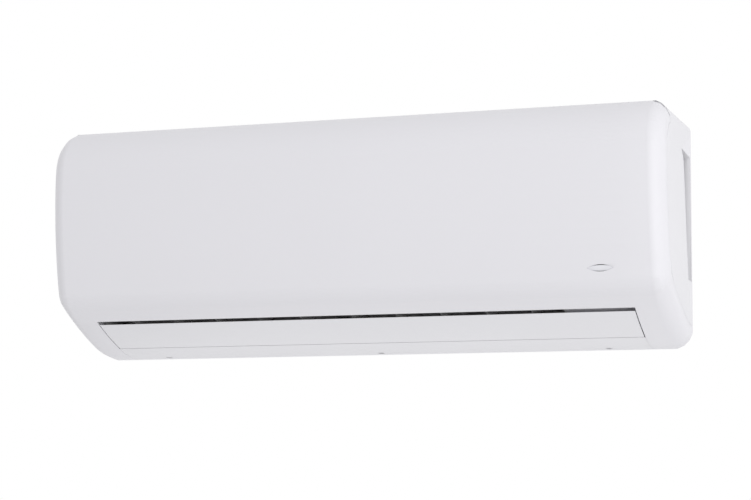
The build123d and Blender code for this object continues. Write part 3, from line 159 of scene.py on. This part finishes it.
def dress(material, *nodes):
    """Gives pieces of the frame their finish."""
    for node in nodes:
        mesh = frame["nodes"][node].data
        mesh.materials.clear()
        mesh.materials.append(material)


galvanised, shader, place = finish("galvanised_steel", roughness=0.42, metal=0.9)
spangles_per_metre = 95.0
crystals = {"Vector": place, "Scale": spangles_per_metre, "Randomness": 1.0}
spangle = place.node("TexVoronoi", {}, crystals, output="Color")
flake = spangle.node("SeparateColor", {}, {"Color": spangle}, output="Red")
rolled = place.stretched(40, 900, 900).noise(scale=1.0)
feed(
    shader,
    flake.mixed(0.4, rolled),
    relief=0.00006,
    strength=0.5,
    Base_Color=flake.mixed(0.7, rolled).blend((0.47, 0.49, 0.51), (0.66, 0.68, 0.70)),
    Roughness=flake.between(0.32, 0.48),
)
dress(galvanised, "mounting_plate", "coil_plate_left", "coil_plate_right", "motor_clamp")


# ---- Rear chassis
# One moulding in high-impact polystyrene: back wall, scroll behind the fan, end walls, motor
# saddle and pipe channel. It is slightly greyer and duller than the outer casing.
def moulded(name, low, high, roughness, grain, relief=0.00005, **constants):
    """Moulded plastic: slow changes of shade from filling, and a fine eroded surface."""
    flow_scale, flow_share = 7.0, 0.75
    stray = 0.05  # how far the roughness strays either way
    material, shader, place = finish(name, roughness, **constants)
    flow = place.noise(flow_scale, detail=3.0)
    fine = place.noise(grain, detail=1.0)
    feed(
        shader,
        fine,
        relief,
        strength=0.6,
        Base_Color=flow.mixed(flow_share, fine).blend(low, high),
        Roughness=fine.between(roughness - stray, roughness + stray),
    )
    return material


def smooth(material, slot, *nodes, angle=32.0, cuts=()):
    """Stands for pieces with curves by copies whose joined faces are shaded round.

    Cuts across the length, at places in x, keep long faces from carrying shade far along.
    """
    one_corner = 0.00001  # corners that lie closer than this are one
    bodies = frame["record"]["behaviour"]["bodies"]
    for node in nodes:
        bpy.ops.object.select_all(action="DESELECT")
        piece = bpy.data.objects.new(node + "_finished", frame["nodes"][node].data.copy())
        bpy.context.scene.collection.objects.link(piece)
        bpy.context.view_layer.objects.active = piece
        piece.select_set(True)
        bpy.ops.object.mode_set(mode="EDIT")
        bpy.ops.mesh.select_all(action="SELECT")
        bpy.ops.mesh.remove_doubles(threshold=one_corner)
        for x in cuts:
            bpy.ops.mesh.select_all(action="SELECT")
            bpy.ops.mesh.bisect(plane_co=(x, 0.0, 0.0), plane_no=(1.0, 0.0, 0.0))
        bpy.ops.object.mode_set(mode="OBJECT")
        bpy.ops.object.shade_smooth_by_angle(angle=radians(angle))
        even = piece.modifiers.new("even_normals", "WEIGHTED_NORMAL")
        even.keep_sharp = True
        bpy.ops.object.modifier_apply(modifier=even.name)
        piece.data.materials.clear()
        piece.data.materials.append(material)
        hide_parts(node)
        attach(piece, next(body for body, held in bodies.items() if node in held))


chassis_grey = moulded(
    "chassis_polystyrene",
    low=(0.60, 0.60, 0.60),
    high=(0.69, 0.69, 0.69),
    roughness=0.55,
    grain=1100.0,
    relief=0.00009,
)
dress(chassis_grey, "pipe_clamp", "louver_support")
smooth(chassis_grey, "grey_plastic", "rear_chassis")

# ---- Drain pan
# A trough of polystyrene under the heat exchanger, moulded in one piece. It is coloured near
# black as painted shade for the shadow in the outlet behind the louver. It catches the water that
# drips off the fins, and its underside is the roof of the air outlet.
pan_painted_shade = moulded(
    "pan_polystyrene_painted_shade",
    low=(0.055, 0.055, 0.058),
    high=(0.080, 0.080, 0.085),
    roughness=0.55,
    grain=1000.0,
    relief=0.00009,
)
smooth(pan_painted_shade, "dark_plastic", "drain_pan")

# ---- Heat exchanger
# Three packs of aluminium fins pressed on to copper tubes, between two galvanised end plates.
# Brazed copper hairpins join the tubes at both ends.
fin_pitch, fin_gap = 0.0014, 0.0009
fins, shader, place = finish("fin_aluminium", roughness=0.34, metal=0.85)
# The dark stripes between the fins are painted shade, for the shadow in the gaps between them.
painted_fin_shade = place.stripes("X", fin_pitch, fin_gap)
crease = place.noise(160.0, detail=2.0)
feed(
    shader,
    (1 - painted_fin_shade) + crease * 0.15,
    relief=0.0006,
    strength=0.8,
    Base_Color=painted_fin_shade.mixed(0.85, crease).blend((0.70, 0.72, 0.74), (0.10, 0.11, 0.12)),
    Roughness=crease.between(0.26, 0.46),
)
dress(fins, "coil_front_lower", "coil_front_upper", "coil_rear")

copper, shader, place = finish("drawn_copper", roughness=0.3, metal=1.0)
tarnish = place.noise(38.0, detail=4.0)
drawn = place.noise(900.0)
feed(
    shader,
    drawn,
    relief=0.00003,
    strength=0.4,
    Base_Color=tarnish.blend((0.80, 0.44, 0.28), (0.42, 0.20, 0.12)),
    Roughness=tarnish.between(0.16, 0.46),
)
smooth(copper, "copper", "coil_bends", "gas_tube", "liquid_tube", "coil_sensor", angle=50.0)

tool_step, tool_mark = 0.0006, 0.0003
brass, shader, place = finish("turned_brass", roughness=0.28, metal=1.0)
turned = place.stripes("X", tool_step, tool_mark)
patina = place.noise(60.0, detail=3.0)
feed(
    shader,
    turned,
    relief=0.00004,
    strength=0.5,
    Base_Color=patina.blend((0.80, 0.60, 0.28), (0.58, 0.42, 0.20)),
    Roughness=patina.between(0.18, 0.43),
)
smooth(brass, "brass", "gas_union", "liquid_union")

# ---- Fan and its motor
# A crossflow fan of glass-filled polypropylene with a steel stub shaft in a rubber-seated
# bearing at the left, driven by a motor in a plated shell with a ground steel shaft.
fan_black = moulded(
    "fan_polypropylene",
    low=(0.030, 0.031, 0.034),
    high=(0.050, 0.051, 0.055),
    roughness=0.48,
    grain=700.0,
    relief=0.0001,
)
smooth(fan_black, "fan_plastic", "crossflow_fan")

ground_steel, shader, place = finish("ground_steel", roughness=0.25, metal=1.0)
ground = place.stretched(2500, 60, 60).noise(scale=1.0)
feed(
    shader,
    ground,
    relief=0.00002,
    strength=0.4,
    Base_Color=ground.blend((0.52, 0.53, 0.55), (0.68, 0.69, 0.70)),
    Roughness=ground.between(0.15, 0.35),
)
smooth(ground_steel, "bright_steel", "motor_shaft", "fan_stub_shaft", "louver_motor_shaft")

motor_shell, shader, place = finish("plated_motor_shell", roughness=0.4, metal=0.75)
drawing = place.stretched(30, 500, 500).noise(scale=1.0)
smear = place.noise(22.0, detail=3.0)
feed(
    shader,
    drawing,
    relief=0.00004,
    strength=0.5,
    Base_Color=smear.mixed(0.6, drawing).blend((0.44, 0.45, 0.47), (0.62, 0.63, 0.64)),
    Roughness=smear.between(0.28, 0.53),
)
smooth(motor_shell, "motor_steel", "fan_motor", "louver_motor")

rubber = moulded(
    "moulded_rubber",
    low=(0.018, 0.018, 0.018),
    high=(0.036, 0.036, 0.036),
    roughness=0.72,
    grain=900.0,
    relief=0.00012,
)
smooth(rubber, "rubber", "drain_plug", "bearing_seat")

bronze = moulded(
    "sintered_bronze",
    low=(0.36, 0.25, 0.13),
    high=(0.46, 0.33, 0.18),
    roughness=0.45,
    grain=2200.0,
    relief=0.00012,
    Metallic=0.8,
)
smooth(bronze, "bright_steel", "fan_bearing")

# ---- Vanes
# Five thin blades in each half of the outlet turn the air left and right. A link bar joins
# the five, and rails clipped into the outlet carry their pivots.
vane_white = moulded(
    "vane_polystyrene",
    low=(0.66, 0.66, 0.67),
    high=(0.74, 0.74, 0.75),
    roughness=0.5,
    grain=1300.0,
    relief=0.00006,
)
vanes = [f"vane_{side}_{number}" for side in ("left", "right") for number in range(1, 6)]
dress(vane_white, "link_bar_left", "link_bar_right", "vane_rail_left", "vane_rail_right", *vanes)

# ---- Casing, top grille and louver
# Injection-moulded ABS, white with a slight cool cast, satin from a finely eroded tool. The
# casing is screwed to the chassis, the grille clips into it, and the louver hangs on pivots.
casing_white = moulded(
    "casing_abs",
    low=(0.72, 0.716, 0.748),
    high=(0.76, 0.756, 0.788),
    roughness=0.42,
    grain=1600.0,
    relief=0.00004,
)
dress(casing_white, "top_grille")
smooth(casing_white, "white_plastic", "front_casing", "louver")

# ---- Filters
# Frames of grey polypropylene with a fine woven net moulded into them, dark against the
# frame. They snap in behind the front panel.
filter_grey = moulded(
    "filter_frame_plastic",
    low=(0.30, 0.33, 0.37),
    high=(0.38, 0.41, 0.45),
    roughness=0.5,
    grain=1400.0,
)
smooth(filter_grey, "dark_plastic", "air_filter_left", "air_filter_right")

net_pitch, thread_width = 0.0016, 0.0005
net, shader, place = finish("woven_net", roughness=0.6)
across = place.stripes("X", net_pitch, thread_width)
up = place.stripes("Z", net_pitch, thread_width)
thread = across.math("MAXIMUM", across, up)
fuzz = place.noise(500.0)
feed(
    shader,
    thread,
    relief=0.0002,
    strength=0.8,
    Base_Color=fuzz.blend((0.05, 0.055, 0.06), (0.11, 0.115, 0.125)),
    Alpha=thread.between(0.25, 1.0),
)
dress(net, "filter_mesh_left", "filter_mesh_right")

# ---- Electrics
# A flame-retardant box beside the motor holds the control board and terminals; its lid is
# screwed on. A small board behind the panel carries the receiver and the display.
box_white = moulded(
    "box_polymer",
    low=(0.52, 0.52, 0.51),
    high=(0.60, 0.60, 0.59),
    roughness=0.55,
    grain=1000.0,
    relief=0.00009,
)
dress(box_white, "electrical_box", "box_cover")

track_pitch, track_width = 0.0031, 0.0011
pad_pitch, pad_length = 0.0043, 0.003
laminate, shader, place = finish(
    "board_laminate", roughness=0.3, Coat_Weight=0.4, Coat_Roughness=0.15
)
tracks = place.stripes("X", track_pitch, track_width) * place.stripes("Z", pad_pitch, pad_length)
weave = place.noise(1200.0)
feed(
    shader,
    tracks,
    relief=0.00006,
    strength=0.6,
    Base_Color=(tracks * 0.7 + weave * 0.2).blend((0.022, 0.15, 0.055), (0.07, 0.30, 0.13)),
    Roughness=weave.between(0.22, 0.37),
)
dress(laminate, "control_board", "display_board")

terminal_black = moulded(
    "terminal_nylon",
    low=(0.025, 0.025, 0.028),
    high=(0.05, 0.05, 0.055),
    roughness=0.4,
    grain=1500.0,
)
dress(terminal_black, "terminal_block")

zinc, shader, place = finish("zinc_screw", roughness=0.35, metal=1.0)
dull = place.noise(300.0, detail=3.0)
feed(
    shader,
    dull,
    relief=0.00003,
    strength=0.4,
    Base_Color=dull.blend((0.50, 0.51, 0.53), (0.70, 0.71, 0.72)),
    Roughness=dull.between(0.2, 0.5),
)
dress(zinc, "casing_screws", "box_screws")

# ---- Front panel
# A single white ABS moulding with a low sheen that wraps round both ends, hung from two pins
# under the top edge. The manual button is moulded in the same plastic.
beside_eye = (0.298, 0.342)  # places in x to the left and right of the receiver's hole
panel_white, shader, place = finish(
    "panel_abs", roughness=0.46, Coat_Weight=0.04, Specular_IOR_Level=0.35
)
flow = place.noise(3.5, detail=2.0)
peel = place.noise(240.0, detail=1.0)
feed(
    shader,
    peel,
    relief=0.00006,
    strength=0.35,
    Base_Color=flow.blend((0.742, 0.736, 0.772), (0.768, 0.762, 0.798)),
    Roughness=peel.between(0.43, 0.49),
)
smooth(panel_white, "white_plastic", "front_panel", cuts=beside_eye)
smooth(panel_white, "button_plastic", "manual_button")

# ---- Receiver lens
# A small domed eye of polished white acrylic, through which the receiver looks out. It is
# glued into a hole at the panel's lower right, a little low, so that a dark gap shows over it.
eye_size = (0.0158, 0.0014, 0.0036)  # half its length, depth and height
panel_lean = -15.8  # degrees that the panel leans at the lens
eye_y, eye_z = -0.1725, -0.0645
eye_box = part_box("receiver_window")
eye_x = (eye_box[0][0] + eye_box[1][0]) / 2
bpy.ops.object.select_all(action="DESELECT")
bpy.ops.mesh.primitive_uv_sphere_add(segments=48, ring_count=24, radius=1.0)
eye = bpy.context.object
eye.name = "receiver_eye"
bpy.ops.object.mode_set(mode="EDIT")
bpy.ops.mesh.select_all(action="SELECT")
bpy.ops.transform.resize(value=eye_size)
bpy.ops.transform.rotate(
    value=radians(panel_lean), orient_axis="X", center_override=(0.0, 0.0, 0.0)
)
bpy.ops.transform.translate(value=(eye_x, eye_y, eye_z))
bpy.ops.object.mode_set(mode="OBJECT")
bpy.ops.object.shade_smooth_by_angle(angle=radians(50.0))

lens, shader, place = finish("receiver_lens", roughness=0.16, Coat_Weight=0.5)
haze = place.noise(90.0, detail=1.0)
feed(
    shader,
    haze,
    relief=0.00002,
    strength=0.3,
    Base_Color=haze.blend((0.70, 0.70, 0.74), (0.78, 0.78, 0.82)),
)
eye.data.materials.append(lens)
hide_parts("receiver_window")
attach(eye, "front_panel")

# ---- Studio
# A wide soft lamp at the front right, a weaker one behind and below, white air all round and a
# pale floor far down. The camera looks up a little from the unit's right, as in the photograph.
floor_size, floor_drop = 14.0, 1.9
floor_z = cad_box[0][2] - floor_drop
bpy.ops.object.select_all(action="DESELECT")
bpy.ops.mesh.primitive_plane_add(size=floor_size, location=(0.0, 0.0, floor_z))
floor = bpy.context.object
floor.name = "studio_floor"
floor_paint, shader, place = finish("floor_paint", roughness=0.9)
mottle = place.noise(2.0, detail=3.0)
feed(
    shader,
    mottle,
    relief=0.0005,
    strength=0.2,
    Base_Color=mottle.blend((0.80, 0.80, 0.80), (0.84, 0.84, 0.84)),
)
floor.data.materials.append(floor_paint)

air_light, seen_white = (0.82, 0.82, 0.82), (1.0, 1.0, 1.0)
world = bpy.data.worlds.new("studio_air")
bpy.context.scene.world = world
world.use_nodes = True
air = Tone(world.node_tree)
seen, glossy, through = [
    air.node("LightPath", {}, {}, output=f"Is {ray} Ray")
    for ray in ("Camera", "Glossy", "Transmission")
]
white = seen.math("MAXIMUM", seen.math("MAXIMUM", seen, glossy), through)
backdrop = world.node_tree.nodes["Background"]
tint = white.blend(air_light, seen_white)
world.node_tree.links.new(tint.socket, backdrop.inputs["Color"])


def soft_lamp(name, spot, size, power):
    """A square soft box that points at the unit's middle."""
    light = bpy.data.lights.new(name, "AREA")
    light.shape = "SQUARE"
    light.size = size
    light.energy = power
    lamp = bpy.data.objects.new(name, light)
    bpy.context.scene.collection.objects.link(lamp)
    unit_middle = Vector((0.0, -0.1, 0.0))
    direction = unit_middle - Vector(spot)
    turn = direction.to_track_quat("-Z", "Y").to_matrix().to_4x4()
    lamp.matrix_world = Matrix.Translation(spot) @ turn


soft_lamp("side_lamp", spot=(3.4, -2.7, -0.1), size=2.6, power=62.0)
soft_lamp("low_lamp", spot=(-0.3, 1.2, -1.5), size=1.6, power=6.0)

yaw, pitch, roll = radians(18.0), radians(9.5), radians(0.9)
camera_spot = (0.7626, -2.3955, -0.4240)
sensor_width, focal_length = 36.0, 92.49
forward = Vector((-sin(yaw) * cos(pitch), cos(yaw) * cos(pitch), sin(pitch)))
level = Vector((cos(yaw), sin(yaw), 0.0))
upward = level.cross(forward)
right = cos(roll) * level + sin(roll) * upward
top = cos(roll) * upward - sin(roll) * level
photo_lens = bpy.data.cameras.new("photo_camera")
photo_lens.sensor_width = sensor_width
photo_lens.lens = focal_length
camera = bpy.data.objects.new("photo_camera", photo_lens)
bpy.context.scene.collection.objects.link(camera)
turn = Matrix((right, top, -forward)).transposed().to_4x4()
camera.matrix_world = Matrix.Translation(camera_spot) @ turn
bpy.context.scene.camera = camera

bpy.context.scene.view_settings.view_transform = "Standard"
